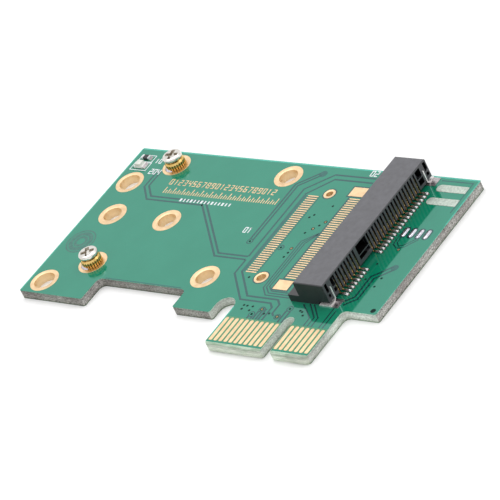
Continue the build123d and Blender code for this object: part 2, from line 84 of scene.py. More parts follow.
# Board
lobe_left, lobe_right, bay_right = -56.15, -42.35, -23.55
lobe_front, bay_back, middle_front = 5.65, 10.65, 6.6
relief_left, tab_left, tab_right = -15.75, -12.15, 8.1
relief_back, notch_half, notch_back = 10.25, 0.95, 7.9
shoulder_front, board_right, board_back = 10.55, 14.4, 41.4
corner_radius, bay_radius, tab_corner, notch_corner = 0.35, 1.0, 0.9, 0.5
relief_radius = (tab_left - relief_left) / 2
radius_ease = 0.001
bevel_length, bevel_drop = 0.6, 0.25
rim_width, back_rim_width, right_rim_width = 0.22, 0.32, 0.09
rim_change = 31.0

# Holes: the bore of each screw hole, the bore and ring of each peg hole
screw_holes = {"bracket_hole_front": 1.8, "bracket_hole_back": 1.8, "gauge_hole_left": 1.58,
               "gauge_hole_right": 1.58, "half_card_hole_front": 1.6, "half_card_hole_back": 1.6}
ring_radius = 2.53
standoff_bore = 1.4
peg_holes = {"peg_hole_front": (0.8, 1.25), "peg_hole_back": (0.6, 1.05)}
socket_peg_holes = [(0.9, 13.47, 0.6), (0.9, 38.47, 0.85)]
plating = 0.04
ring_edge, ring_lip = 0.02, 0.08

# Fingers and pads
finger_width, finger_front, finger_back, finger_sheet = 0.63, 1.0, 6.15, 0.02
finger_front_round, finger_back_round = 0.22, 0.33
finger_places = [-1.5 - k for k in range(11)] + [1.5 + k for k in range(7)]
fine_pad_share = 0.76
anchor_pad_depth, anchor_clearance = 2.1, 0.14
short_pad_width, short_pad_pitch, short_pad_ease = 0.88, 1.42, 0.07
long_pad_depth, long_pad_round, long_pad_corner = 1.6, 0.75, 0.15

# Traces and vias
gap_width, thin_gap_width, underside_gap_width = 0.36, 0.25, 0.2
via_radius = 0.21
vias = [(-8.9, 32.4), (-11.05, 30.05), (-11.6, 29.4), (-8.5, 27.85), (-10.05, 25.9), (-10.2, 21.2),
        (-10.35, 20.2), (-13.7, 15.0), (-7.7, 7.4), (-10.4, 9.05), (-9.7, 9.0), (-8.6, 9.0), (-8.7, 8.1),
        (-10.3, 8.2), (-5.5, 7.8), (-4.6, 8.0), (0.6, 9.4), (1.1, 9.2), (1.7, 8.5), (7.6, 21.1), (10.4, 18.2),
        (10.3, 16.3), (7.7, 17.6)]
gold_vias = [(-7.85, 28.75), (-9.2, 27.0), (-6.5, 8.65), (-2.7, 7.55), (-10.2, 22.2), (9.4, 24.6)]
ringed_vias = [(-19.1, 22.7), (-12.3, 22.15), (-1.5, 9.5), (-6.5, 8.65), (-7.7, 7.4), (-2.7, 7.55)]

# Contacts and their solder
contact_sheet, contact_width, contact_bend = 0.14, 0.2, 0.14
leg_inset, leg_foot, tail_height, foot_reach = 0.21, 0.22, 0.105, 0.36
bow_x, upper_beam, lower_beam, tip_inset = 1.05, 2.8, 0.85, 0.05
joint_half, joint_height, joint_heel, joint_toe = 0.28, 0.42, 0.02, 0.24
# Share of a joint's length past which its toe takes a dark colour: a painted reflection
painted_toe_share = 0.86

# Standoffs and screws
knurl_radius, knurl_depth, knurl_teeth = 1.72, 0.16, 24
groove_share = 0.6
seat_z, knurl_z = 1.35, 1.05
head_radius, head_low, head_high, head_round = 1.65, 1.67, 2.32, 0.28
thread_pitch = 0.4
cross_arm, cross_half, cross_depth, cross_taper = 1.2, 0.36, 0.32, 0.62
screw_turns = {"front": 38, "back": 14}


def at(x, y, z=0.0):
    """A place on the card's drawing, in metres in the frame."""
    return Vector((tab_mount[0] + x * MM, tab_mount[1] + y * MM, board_top + z * MM))


def card(point):
    """A point of the frame as a place on the card's drawing."""
    return ((point[0] - tab_mount[0]) / MM, (point[1] - tab_mount[1]) / MM, (point[2] - board_top) / MM)


def limits(node):
    """The lowest and highest corners of a node on the card's drawing."""
    low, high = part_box(node)
    return card(low), card(high)


def middle(node):
    """The middle of a node's box, seen from above, on the card's drawing."""
    low, high = limits(node)
    return (low[0] + high[0]) / 2, (low[1] + high[1]) / 2


# Shader helpers


def new_material(name):
    """A node material, its tree and its principled shader."""
    material = bpy.data.materials.new(name)
    material.use_nodes = True
    tree = material.node_tree
    return material, tree, tree.nodes["Principled BSDF"]


def own_place(tree):
    """Places on a piece, in its own coordinates."""
    return tree.nodes.new("ShaderNodeTexCoord").outputs["Object"]


def axes(tree, vector):
    """The X, Y and Z of a vector."""
    split = tree.nodes.new("ShaderNodeSeparateXYZ")
    tree.links.new(vector, split.inputs["Vector"])
    return split.outputs


def noise(tree, size, detail=4.0, rough=0.55, place=None):
    """Noise whose features are about the given size in millimetres."""
    texture = tree.nodes.new("ShaderNodeTexNoise")
    texture.inputs["Scale"].default_value = 1 / (size * MM)
    texture.inputs["Detail"].default_value = detail
    texture.inputs["Roughness"].default_value = rough
    tree.links.new(own_place(tree) if place is None else place, texture.inputs["Vector"])
    return texture.outputs["Fac"]


def ramp(tree, source, stops):
    """A value turned into a colour that runs through the stops."""
    node = tree.nodes.new("ShaderNodeValToRGB")
    elements = node.color_ramp.elements
    while len(elements) < len(stops):
        elements.new(0.5)
    for element, (place, colour) in zip(elements, stops):
        element.position = place
        element.color = (*colour, 1.0)
    tree.links.new(source, node.inputs["Fac"])
    return node.outputs["Color"]


def stretch(tree, source, low, high, to_low=0.0, to_high=1.0):
    """A value brought from one range to another, and held at its ends."""
    node = tree.nodes.new("ShaderNodeMapRange")
    for name, value in (("From Min", low), ("From Max", high), ("To Min", to_low), ("To Max", to_high)):
        node.inputs[name].default_value = value
    tree.links.new(source, node.inputs["Value"])
    return node.outputs["Result"]


def combine(tree, operation, first, second):
    """A math operation on two values."""
    node = tree.nodes.new("ShaderNodeMath")
    node.operation = operation
    tree.links.new(first, node.inputs[0])
    tree.links.new(second, node.inputs[1])
    return node.outputs["Value"]


def mix(tree, first, second, share=None):
    """Two colours mixed by a share, or multiplied where no share is given."""
    node = tree.nodes.new("ShaderNodeMix")
    node.data_type = "RGBA"
    if share is None:
        node.blend_type = "MULTIPLY"
        node.inputs["Factor"].default_value = 1.0
    else:
        tree.links.new(share, node.inputs["Factor"])
    tree.links.new(first, node.inputs[6])
    tree.links.new(second, node.inputs[7])
    return node.outputs[2]


def grain(tree, shader, source, height):
    """A bump of the given height in millimetres."""
    bump = tree.nodes.new("ShaderNodeBump")
    bump.inputs["Distance"].default_value = height * MM
    bump.inputs["Strength"].default_value = 1.0
    tree.links.new(source, bump.inputs["Height"])
    tree.links.new(bump.outputs["Normal"], shader.inputs["Normal"])


def vary_roughness(tree, shader, source, low, high):
    """Let the roughness drift between two values."""
    tree.links.new(stretch(tree, source, 0.3, 0.7, low, high), shader.inputs["Roughness"])


# Materials


def finish(name, colours, size, roughness, metallic=0.0, height=0.0, grain_size=None, ior=1.5, coat=0.0,
           sheen=(1.0, 1.0, 1.0)):
    """A finish that drifts between two colours and two roughnesses over a size, with a finer grain."""
    material, tree, shader = new_material(name)
    cloud = noise(tree, size)
    tint = ramp(tree, cloud, [(0.35, colours[0]), (0.65, colours[1])])
    tree.links.new(tint, shader.inputs["Base Color"])
    vary_roughness(tree, shader, cloud, *roughness)
    shader.inputs["Metallic"].default_value = metallic
    shader.inputs["IOR"].default_value = ior
    shader.inputs["Coat Weight"].default_value = coat
    shader.inputs["Specular Tint"].default_value = (*sheen, 1.0)
    if height:
        grain(tree, shader, noise(tree, grain_size or size), height)
    return material


def edge_material(name, dark, bright, spread=0.8, roughness=0.75):
    """A cut edge of the laminate: glass fibre in speckles and layers, greener and darker near the faces, darkest
    at the bottom.
    """
    material, tree, shader = new_material(name)
    place = own_place(tree)
    layered = tree.nodes.new("ShaderNodeMapping")
    layered.inputs["Scale"].default_value = (spread, spread, 2.6)
    tree.links.new(place, layered.inputs["Vector"])
    speckle = noise(tree, 0.32, 7.0, 0.82, layered.outputs["Vector"])
    tint = ramp(tree, speckle, [(0.41, dark), (0.6, bright)])
    height = stretch(tree, axes(tree, place)["Z"], 0.0, board_top)
    layers = ramp(tree, height, [(0.0, (0.42, 0.62, 0.42)), (0.09, (0.55, 0.62, 0.5)),
                                 (0.17, (1.04, 1.04, 1.02)), (0.6, (1.0, 1.0, 1.0)),
                                 (0.86, (0.76, 0.76, 0.76)), (1.0, (0.8, 1.0, 0.88))])
    drift = ramp(tree, noise(tree, 7.0, 2.0), [(0.38, (0.78, 0.75, 0.73)), (0.62, (1.12, 1.14, 1.1))])
    tree.links.new(mix(tree, mix(tree, tint, layers), drift), shader.inputs["Base Color"])
    shader.inputs["Roughness"].default_value = roughness
    grain(tree, shader, speckle, 0.04)
    return material


def socket_material():
    """The socket's moulded plastic: near black, with a paler painted sheen on its top and its rear ribs, where
    the light falls.
    """
    material, tree, shader = new_material("socket_black")
    cloud = noise(tree, 0.9, 5.0, 0.65)
    plain = ramp(tree, cloud, [(0.35, (0.005, 0.005, 0.006)), (0.65, (0.011, 0.011, 0.013))])
    painted_sheen = ramp(tree, cloud, [(0.32, (0.08, 0.08, 0.09)), (0.68, (0.12, 0.12, 0.134))])
    # Painted sheen: faces that point up near the top, and faces that point rearward, are paler
    facing = axes(tree, tree.nodes.new("ShaderNodeNewGeometry").outputs["Normal"])
    upward = ramp(tree, facing["Z"], [(0.55, (0.0, 0.0, 0.0)), (0.95, (1.0, 1.0, 1.0))])
    rearward = ramp(tree, facing["X"], [(0.55, (0.0, 0.0, 0.0)), (0.95, (0.45, 0.45, 0.45))])
    level = stretch(tree, axes(tree, own_place(tree))["Z"], at(0, 0, 3.0).z, at(0, 0, 3.7).z, 0.25)
    share = combine(tree, "MAXIMUM", combine(tree, "MULTIPLY", upward, level), rearward)
    tree.links.new(mix(tree, plain, painted_sheen, share), shader.inputs["Base Color"])
    vary_roughness(tree, shader, cloud, 0.36, 0.5)
    shader.inputs["IOR"].default_value = 1.55
    grain(tree, shader, noise(tree, 0.09), 0.004)
    return material


def contact_material():
    """The contacts' gold: bright flecks of painted glints on dark gold, darker towards the top of their cells
    with painted shade.
    """
    material, tree, shader = new_material("contact_gold")
    rise = stretch(tree, axes(tree, own_place(tree))["Z"], at(0, 0, 0.2).z, at(0, 0, 2.9).z)
    # Painted shade: darker towards the top of the cells, inside the housing
    painted_cell_shade = ramp(tree, rise, [(0.0, (1.0, 1.0, 1.0)), (0.45, (0.75, 0.75, 0.75)), (0.8, (0.12, 0.12, 0.12))])
    # Painted glints: bright gold flecks on near-black gold
    painted_glints = ramp(tree, noise(tree, 0.35), [(0.44, (0.1, 0.055, 0.016)), (0.58, (0.8, 0.5, 0.19))])
    tree.links.new(mix(tree, painted_glints, painted_cell_shade), shader.inputs["Base Color"])
    shader.inputs["Metallic"].default_value = 1.0
    shader.inputs["Roughness"].default_value = 0.28
    return material


# Each finish: two colours, the drift's size, two roughnesses, metallic, the grain's height and size
mask_gloss = {"ior": 2.0, "sheen": (0.55, 0.98, 1.0)}
mask = finish("mask_green", [(0.004, 0.206, 0.112), (0.008, 0.222, 0.124)], 6.0, (0.05, 0.08), 0.0, 0.002, 1.6,
              **mask_gloss)
mask_gap = finish("mask_over_gap", [(0.004, 0.044, 0.04), (0.008, 0.062, 0.056)], 0.8, (0.06, 0.1), 0.0, 0.001,
                  **mask_gloss)
mask_soft = finish("mask_over_edge", [(0.005, 0.078, 0.062), (0.008, 0.1, 0.078)], 0.8, (0.06, 0.1), 0.0,
                   0.001, **mask_gloss)
mask_rim = finish("mask_rim", [(0.035, 0.4, 0.28), (0.06, 0.48, 0.35)], 0.8, (0.1, 0.2), 0.0, 0.002,
                  **mask_gloss)
stamp = finish("stamp_ink", [(0.016, 0.11, 0.072), (0.03, 0.15, 0.098)], 0.5, (0.1, 0.18), 0.0, 0.002,
               **mask_gloss)
window = finish("bare_window", [(0.04, 0.23, 0.115), (0.07, 0.3, 0.15)], 0.4, (0.35, 0.5), 0.0, 0.003, 0.12)
gold = finish("pad_gold", [(0.79, 0.56, 0.33), (0.87, 0.635, 0.39)], 0.7, (0.3, 0.4), 1.0, 0.001, 0.06)
barrel_gold = finish("barrel_gold", [(0.84, 0.66, 0.4), (0.92, 0.74, 0.5)], 0.4, (0.4, 0.55), 1.0, 0.003, 0.08)
solder = finish("solder_tin", [(0.7, 0.69, 0.7), (0.86, 0.85, 0.85)], 0.5, (0.22, 0.34), 1.0, 0.006, 0.3)
lilac_tin = finish("lilac_tin", [(0.5, 0.48, 0.56), (0.74, 0.72, 0.78)], 0.5, (0.18, 0.3), 1.0, 0.006, 0.3)
matt_tin = finish("matt_tin", [(0.38, 0.44, 0.39), (0.6, 0.67, 0.6)], 0.35, (0.45, 0.62), 0.6, 0.01, 0.16)
clip_steel = finish("clip_tin", [(0.78, 0.76, 0.75), (0.88, 0.86, 0.85)], 0.5, (0.22, 0.34), 0.5, 0.003, 0.12)
foot_solder = finish("foot_solder", [(0.3, 0.27, 0.28), (0.52, 0.48, 0.49)], 0.6, (0.25, 0.45), 1.0, 0.006, 0.35)
# Dark solder for the joints' toes: a painted reflection
toe_painted_reflection = finish("toe_painted_reflection", [(0.1, 0.075, 0.065), (0.2, 0.16, 0.14)], 0.6, (0.25, 0.45), 1.0, 0.006, 0.35)
brass = finish("turned_brass", [(0.68, 0.43, 0.12), (0.86, 0.6, 0.22)], 0.7, (0.1, 0.18), 1.0, 0.002, 0.1)
# Near-black brass for the grooves of the knurl: painted shade
brass_groove_painted_shade = finish("brass_groove_painted_shade", [(0.06, 0.04, 0.012), (0.15, 0.09, 0.022)], 0.3, (0.3, 0.45), 1.0,
                      0.002, 0.1)
nickel = finish("screw_nickel", [(0.72, 0.69, 0.65), (0.9, 0.87, 0.82)], 0.6, (0.14, 0.26), 1.0, 0.004, 0.3)
# Dark brown nickel for the cross recess's walls: painted shade
recess = finish("screw_recess_painted_shade", [(0.2, 0.17, 0.13), (0.4, 0.35, 0.28)], 0.4, (0.2, 0.35), 1.0, 0.004, 0.12)
lamp_white = finish("lamp_white", [(0.8, 0.8, 0.78), (0.88, 0.88, 0.86)], 0.4, (0.45, 0.6), 0.0, 0.002, 0.1)
lamp_resin = finish("lamp_resin", [(0.62, 0.64, 0.58), (0.8, 0.81, 0.76)], 0.5, (0.12, 0.22), 0.0, 0.002, 0.2,
                    coat=0.5)
resistor_black = finish("resistor_glaze", [(0.01, 0.01, 0.012), (0.022, 0.022, 0.026)], 0.3, (0.18, 0.3), 0.0,
                        0.002, 0.12)
print_white = finish("print_white", [(0.72, 0.78, 0.8), (0.84, 0.88, 0.9)], 0.25, (0.45, 0.6), 0.0, 0.002, 0.08)
# Near black with little reflection for the vias: painted shade in the holes
hole_painted_shade = finish("via_hole_painted_shade", [(0.002, 0.016, 0.014), (0.004, 0.028, 0.024)], 0.15, (0.45, 0.6), 0.0, 0.002,
                   0.08, ior=1.2)
via_tin = finish("via_gold", [(0.4, 0.27, 0.14), (0.55, 0.4, 0.24)], 0.15, (0.28, 0.4), 1.0, 0.002, 0.08)
# Near black for the cored walls behind the socket's windows: painted shade
cell_painted_shade = finish("cell_painted_shade", [(0.001, 0.001, 0.001), (0.003, 0.003, 0.003)], 0.5, (0.6, 0.8), ior=1.2)
laminate_edge = edge_material("laminate_edge", (0.085, 0.08, 0.076), (0.76, 0.75, 0.73))
# A darker copy of the edge for faces that point to the front: painted shade
front_edge_painted_shade = edge_material("laminate_edge_painted_shade", (0.055, 0.052, 0.048), (0.5, 0.5, 0.47))
pale_edge = edge_material("laminate_pale_edge", (0.4, 0.45, 0.41), (0.86, 0.92, 0.87))
bevel_bare = edge_material("laminate_bare", (0.4, 0.5, 0.38), (0.8, 0.84, 0.76), 0.16, 0.4)
socket_black = socket_material()
contact_gold = contact_material()

slot_finishes = {
    "gold": gold, "socket_black": socket_black, "contact_gold": contact_gold, "solder": solder,
    "clip_steel": clip_steel, "standoff_brass": brass, "screw_nickel": nickel, "lamp_white": lamp_white,
    "lamp_resin": lamp_resin, "resistor_black": resistor_black, "laminate": mask,
}
node_finishes = {
    "hold_down_pads": foot_solder, "hold_down_solder": foot_solder, "lamp_solder": foot_solder,
    "resistor_solder": foot_solder,
}


# Mesh helpers


def put(name, data):
    """A new object of the scene around a mesh, curve, lamp or camera."""
    thing = bpy.data.objects.new(name, data)
    bpy.context.scene.collection.objects.link(thing)
    return thing


def settle(piece, crease):
    """Smooth shading that keeps edges sharper than the crease angle."""
    with bpy.context.temp_override(object=piece, active_object=piece, selected_objects=[piece],
                                   selected_editable_objects=[piece]):
        bpy.ops.object.shade_smooth_by_angle(angle=radians(crease))


def add_piece(name, mesh, materials, replaces=(), crease=None):
    """A piece of the object that rides on the card, smooth where it bends less than the crease angle."""
    piece = put(name, mesh)
    for material in materials:
        mesh.materials.append(material)
    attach(piece, "root")
    if replaces:
        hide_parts(*replaces)
    if crease:
        settle(piece, crease)
    return piece


def mesh_from(bm, name, as_drawn=False):
    """A mesh from an edit mesh. Its normals are made to agree, unless its faces stay as drawn."""
    if not as_drawn:
        bmesh.ops.recalc_face_normals(bm, faces=bm.faces)
    mesh = bpy.data.meshes.new(name)
    bm.to_mesh(mesh)
    bm.free()
    return mesh


def add_flat(bm, name, material):
    """A piece of flat faces, which keep the side that they were drawn with."""
    add_piece(name, mesh_from(bm, name, as_drawn=True), [material])


def add_solid(bm, name, materials, node, crease=None):
    """A piece of closed forms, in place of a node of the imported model."""
    return add_piece(name, mesh_from(bm, name), materials, [node], crease)


def carve(piece, tools, crossing=False):
    """Cut the tools out of a piece. The new faces take the tools' materials, and the tools go."""
    for tool in tools:
        cut = piece.modifiers.new(tool.name, "BOOLEAN")
        cut.operation = "DIFFERENCE"
        cut.object = tool
        cut.solver = "EXACT"
        cut.use_self = crossing
        cut.material_mode = "TRANSFER"
    graph = bpy.context.evaluated_depsgraph_get()
    shaped = bpy.data.meshes.new_from_object(piece.evaluated_get(graph))
    piece.modifiers.clear()
    piece.data = shaped
    for tool in tools:
        bpy.data.objects.remove(tool)


def rounded(corners, steps=8):
    """An outline from corners (x, y, radius), each rounded by its radius."""
    points = []
    for index, (x, y, radius) in enumerate(corners):
        here = Vector((x, y))
        before = Vector(corners[index - 1][:2]) - here
        after = Vector(corners[(index + 1) % len(corners)][:2]) - here
        turn = before.angle(after)
        reach = radius / tan(turn / 2)
        centre = here + (before.normalized() + after.normalized()).normalized() * (radius / sin(turn / 2))
        first = here + before.normalized() * reach - centre
        last = here + after.normalized() * reach - centre
        sweep = first.angle_signed(last)
        for k in range(steps + 1):
            angle = -sweep * k / steps
            spoke = (first.x * cos(angle) - first.y * sin(angle), first.x * sin(angle) + first.y * cos(angle))
            points.append(tuple(centre + Vector(spoke)))
    return points


def rectangle(x0, x1, y0, y1):
    """The corners of an upright rectangle."""
    return [(x0, y0), (x1, y0), (x1, y1), (x0, y1)]


def rounded_rectangle(x0, x1, y0, y1, front_radius, back_radius, steps=8):
    """The outline of an upright rectangle with rounded corners."""
    radii = (front_radius, front_radius, back_radius, back_radius)
    return rounded([(x, y, radius) for (x, y), radius in zip(rectangle(x0, x1, y0, y1), radii)], steps)


def circle(x, y, radius, steps=48):
    """Points round a circle."""
    return [(x + radius * cos(2 * pi * k / steps), y + radius * sin(2 * pi * k / steps)) for k in range(steps)]


def across(line, close=False, sharpest=0.3):
    """At each point, the direction to the line's left, longer where the line turns, up to a limit."""
    count = len(line)
    sides = []
    for index, point in enumerate(line):
        before = point - line[index - 1] if index > 0 or close else None
        after = line[(index + 1) % count] - point if index < count - 1 or close else None
        first = (before or after).normalized()
        second = (after or before).normalized()
        along = (first + second).normalized()
        sides.append(Vector((-along.y, along.x)) / max(sharpest, along.dot(first)))
    return sides


def shifted(points, offset, close=False):
    """A line moved to its left by an offset, mitred at its corners."""
    line = [Vector(p) for p in points]
    return [tuple(point + side * offset) for point, side in zip(line, across(line, close))]


def eased(points, radius, steps=4):
    """An open line whose corners are rounded."""
    line = [Vector(p) for p in points]
    result = [line[0]]
    for before, here, after in zip(line, line[1:], line[2:]):
        start = here + (before - here).normalized() * min(radius, (before - here).length / 2)
        end = here + (after - here).normalized() * min(radius, (after - here).length / 2)
        for k in range(steps + 1):
            t = k / steps
            result.append(start * (1 - t) ** 2 + here * 2 * t * (1 - t) + end * t ** 2)
    return result + [line[-1]]


def level_points(bm, outline, z):
    """The points of an outline at one height."""
    return [bm.verts.new(at(x, y, z)) for x, y in outline]


def skin(bm, low, high, close=True):
    """Faces between two lines of points, which may each close into a ring."""
    for k in range(len(low) if close else len(low) - 1):
        after = (k + 1) % len(low)
        bm.faces.new((low[k], low[after], high[after], high[k]))


def tube(bm, rings):
    """A closed form through rings of points. It gives back the face at the first ring."""
    for low, high in zip(rings, rings[1:]):
        skin(bm, low, high)
    bm.faces.new(rings[-1])
    return bm.faces.new(rings[0][::-1])


def revolve(bm, profile, x, y, steps=64, ripple=None):
    """A turned form from (radius, z) points, where ripple(angle, radius) may change the radius."""
    rings = []
    for radius, z in profile:
        ring = []
        for k in range(steps if radius > 0 else 1):
            angle = 2 * pi * k / steps
            reach = ripple(angle, radius) if ripple else radius
            ring.append(bm.verts.new(at(x + reach * cos(angle), y + reach * sin(angle), z)))
        rings.append(ring)
    for low, high in zip(rings, rings[1:]):
        if len(low) == len(high):
            skin(bm, low, high)
            continue
        for k in range(steps):
            after = (k + 1) % steps
            bm.faces.new((low[0], high[k], high[after]) if len(low) == 1 else (low[k], low[after], high[0]))


def plate(name, outlines, z0, z1):
    """A flat plate of even thickness: the first outline is its edge, and the others are holes in it."""
    curve = bpy.data.curves.new(name, "CURVE")
    curve.dimensions = "2D"
    curve.fill_mode = "BOTH"
    curve.extrude = (z1 - z0) / 2 * MM
    for outline in outlines:
        spline = curve.splines.new("POLY")
        spline.points.add(len(outline) - 1)
        spline.use_cyclic_u = True
        for point, (x, y) in zip(spline.points, outline):
            place = at(x, y)
            point.co = (place.x, place.y, 0.0, 1.0)
    shape = put(name, curve)
    mesh = bpy.data.meshes.new_from_object(shape)
    bpy.data.objects.remove(shape)
    bpy.data.curves.remove(curve)
    mesh.transform(Matrix.Translation((0, 0, at(0, 0, (z0 + z1) / 2).z)))
    bm = bmesh.new()
    bm.from_mesh(mesh)
    bmesh.ops.remove_doubles(bm, verts=bm.verts, dist=1e-7)
    bmesh.ops.dissolve_limit(bm, angle_limit=radians(0.5), verts=bm.verts, edges=bm.edges)
    bpy.data.meshes.remove(mesh)
    return bm


def ribbon(bm, points, width, z=gap_lift, close=False):
    """A flat strip of even width along a line of points, mitred at its corners."""
    left = level_points(bm, shifted(points, width / 2, close), z)
    right = level_points(bm, shifted(points, -width / 2, close), z)
    skin(bm, right, left, close)


def flat_shape(bm, outline, z):
    """A flat face from an outline."""
    bm.faces.new(level_points(bm, outline, z))


def flat_ring(bm, x, y, inner, outer, z, steps=40):
    """A flat ring."""
    inside = level_points(bm, circle(x, y, inner, steps), z)
    outside = level_points(bm, circle(x, y, outer, steps), z)
    skin(bm, outside, inside)


def pillow(bm, outline, height, rim, steps=5):
    """A low cushion on the board: it rises over its rim and is almost flat on top."""
    line = [Vector(p) for p in outline]
    sides = across(line, close=True, sharpest=0.4)
    rings = []
    for k in range(steps + 1):
        turn = pi / 2 * k / steps
        places = [point + side * (rim * (1 - cos(turn))) for point, side in zip(line, sides)]
        rings.append(level_points(bm, places, height * sin(turn)))
    tube(bm, rings)


# The board


def build_board():
    """The laminate: mask on both faces, routed fibre edges, bevelled tab, round holes."""
    relief_arc, notch_arc = relief_radius - radius_ease, notch_half - radius_ease
    edge = rounded([
        (lobe_left, lobe_front, corner_radius), (lobe_right, lobe_front, corner_radius),
        (lobe_right, bay_back, bay_radius), (bay_right, bay_back, bay_radius),
        (bay_right, middle_front, corner_radius), (relief_left, middle_front, corner_radius),
        (relief_left, relief_back, relief_arc), (tab_left, relief_back, relief_arc),
        (tab_left, 0.0, tab_corner), (-notch_half, 0.0, notch_corner),
        (-notch_half, notch_back, notch_arc), (notch_half, notch_back, notch_arc),
        (notch_half, 0.0, notch_corner), (tab_right, 0.0, tab_corner),
        (tab_right, shoulder_front, bay_radius), (board_right, shoulder_front, corner_radius),
        (board_right, board_back, corner_radius), (lobe_left, board_back, corner_radius),
    ], 10)
    holes = [circle(*middle(node), bore + plating) for node, bore in screw_holes.items()]
    holes += [circle(*middle(node), bore + plating, 28) for node, (bore, _) in peg_holes.items()]
    holes += [circle(*middle("standoff_ring_" + end), standoff_bore) for end in screw_turns]
    holes += [circle(x, y, radius, 28) for x, y, radius in socket_peg_holes]
    bm = plate("board", [edge] + holes, underside, 0.0)
    for face_z, side in ((0.0, 1), (underside, -1)):
        normal = Vector((0, -bevel_drop, side * bevel_length)).normalized()
        geometry = bm.verts[:] + bm.edges[:] + bm.faces[:]
        cut = bmesh.ops.bisect_plane(bm, geom=geometry, plane_co=at(0, bevel_length, face_z), plane_no=normal,
                                     clear_outer=True)
        rim = [e for e in cut["geom_cut"] if isinstance(e, bmesh.types.BMEdge)]
        bmesh.ops.holes_fill(bm, edges=rim, sides=0)
    board = add_solid(bm, "board", [mask, bevel_bare, pale_edge, front_edge_painted_shade, laminate_edge],
                      "circuit_board")
    for face in board.data.polygons:
        x, y, _ = card(face.center)
        slope = abs(face.normal.z)
        at_tab_front = y < bevel_length and face.normal.y < -0.3
        on_tab = x > relief_left - 0.3 and y < shoulder_front + 0.1
        # Faces that point to the front take the darker copy of the edge: painted shade
        side = 2 if on_tab else (3 if face.normal.y < -0.8 else 4)
        face.material_index = 0 if slope > 0.99 else (1 if slope > 0.5 or at_tab_front else side)


def plated_ring(name, node, bore, ring):
    """A ring pad with its barrel: slightly crowned on top, and flush below."""
    bm = bmesh.new()
    low = -board_thickness
    eased_bore = bore + ring_lip / 3
    profile = [(ring, 0.0), (ring - ring_edge, copper), (bore + ring_lip, copper),
               (eased_bore, copper - 0.012), (bore, copper - ring_lip), (bore, low + ring_lip),
               (eased_bore, low), (ring, low), (ring, underside)]
    revolve(bm, profile, *middle(node))
    piece = add_solid(bm, name, [gold, barrel_gold], node, crease=50)
    for face in piece.data.polygons:
        inside = abs(face.normal.z) < 0.5 and low + ring_edge < card(face.center)[2] < 0
        face.material_index = 1 if inside else 0


def build_rings():
    """The plated holes' ring pads."""
    for node, bore in screw_holes.items():
        plated_ring(node + "_ring", node, bore, ring_radius)
    for node, (bore, ring) in peg_holes.items():
        plated_ring(node + "_ring", node, bore, ring)
    for end in screw_turns:
        plated_ring("standoff_pad_" + end, "standoff_ring_" + end, standoff_bore, ring_radius)


def build_rim():
    """The thin paler line where the mask ends along the board's straight edges."""
    bm = bmesh.new()
    front, back = shoulder_front + corner_radius, board_back - corner_radius
    left, tab = lobe_left + rim_width / 2, tab_left + rim_width / 2
    wide_right, thin_right = board_right - rim_width / 2, board_right - right_rim_width / 2
    back_middle = board_back - back_rim_width / 2
    ribbon(bm, [(left, lobe_front + corner_radius), (left, back)], rim_width)
    ribbon(bm, [(left, back_middle), (thin_right, back_middle)], back_rim_width)
    ribbon(bm, [(thin_right, rim_change), (thin_right, front)], right_rim_width)
    ribbon(bm, [(wide_right, back), (wide_right, rim_change)], rim_width)
    ribbon(bm, [(tab, relief_back - relief_radius), (tab, bevel_length + tab_corner)], rim_width)
    add_flat(bm, "mask_rim", mask_rim)


def build_fingers():
    """The bare laminate between the fingers, and both faces' gold fingers with their ends eased."""
    bm = bmesh.new()
    for x0, x1 in ((tab_left + 0.1, -notch_half), (notch_half, tab_right - 0.1)):
        flat_shape(bm, rectangle(x0, x1, finger_front - 0.05, finger_back + 0.25), window_lift)
    add_flat(bm, "finger_windows", window)
    half = finger_width / 2
    for side, low, high in (("top", -finger_sheet, finger_sheet),
                            ("bottom", -board_thickness, -board_thickness + finger_sheet)):
        bm = bmesh.new()
        for x in finger_places:
            outline = rounded_rectangle(x - half, x + half, finger_front, finger_back, finger_front_round,
                                        finger_back_round, 4)
            tube(bm, [level_points(bm, outline, z) for z in (low, high)])
        add_solid(bm, "fingers_" + side, [gold], "edge_fingers_" + side)


# Traces under the mask: only the gaps beside them show, as darker lines


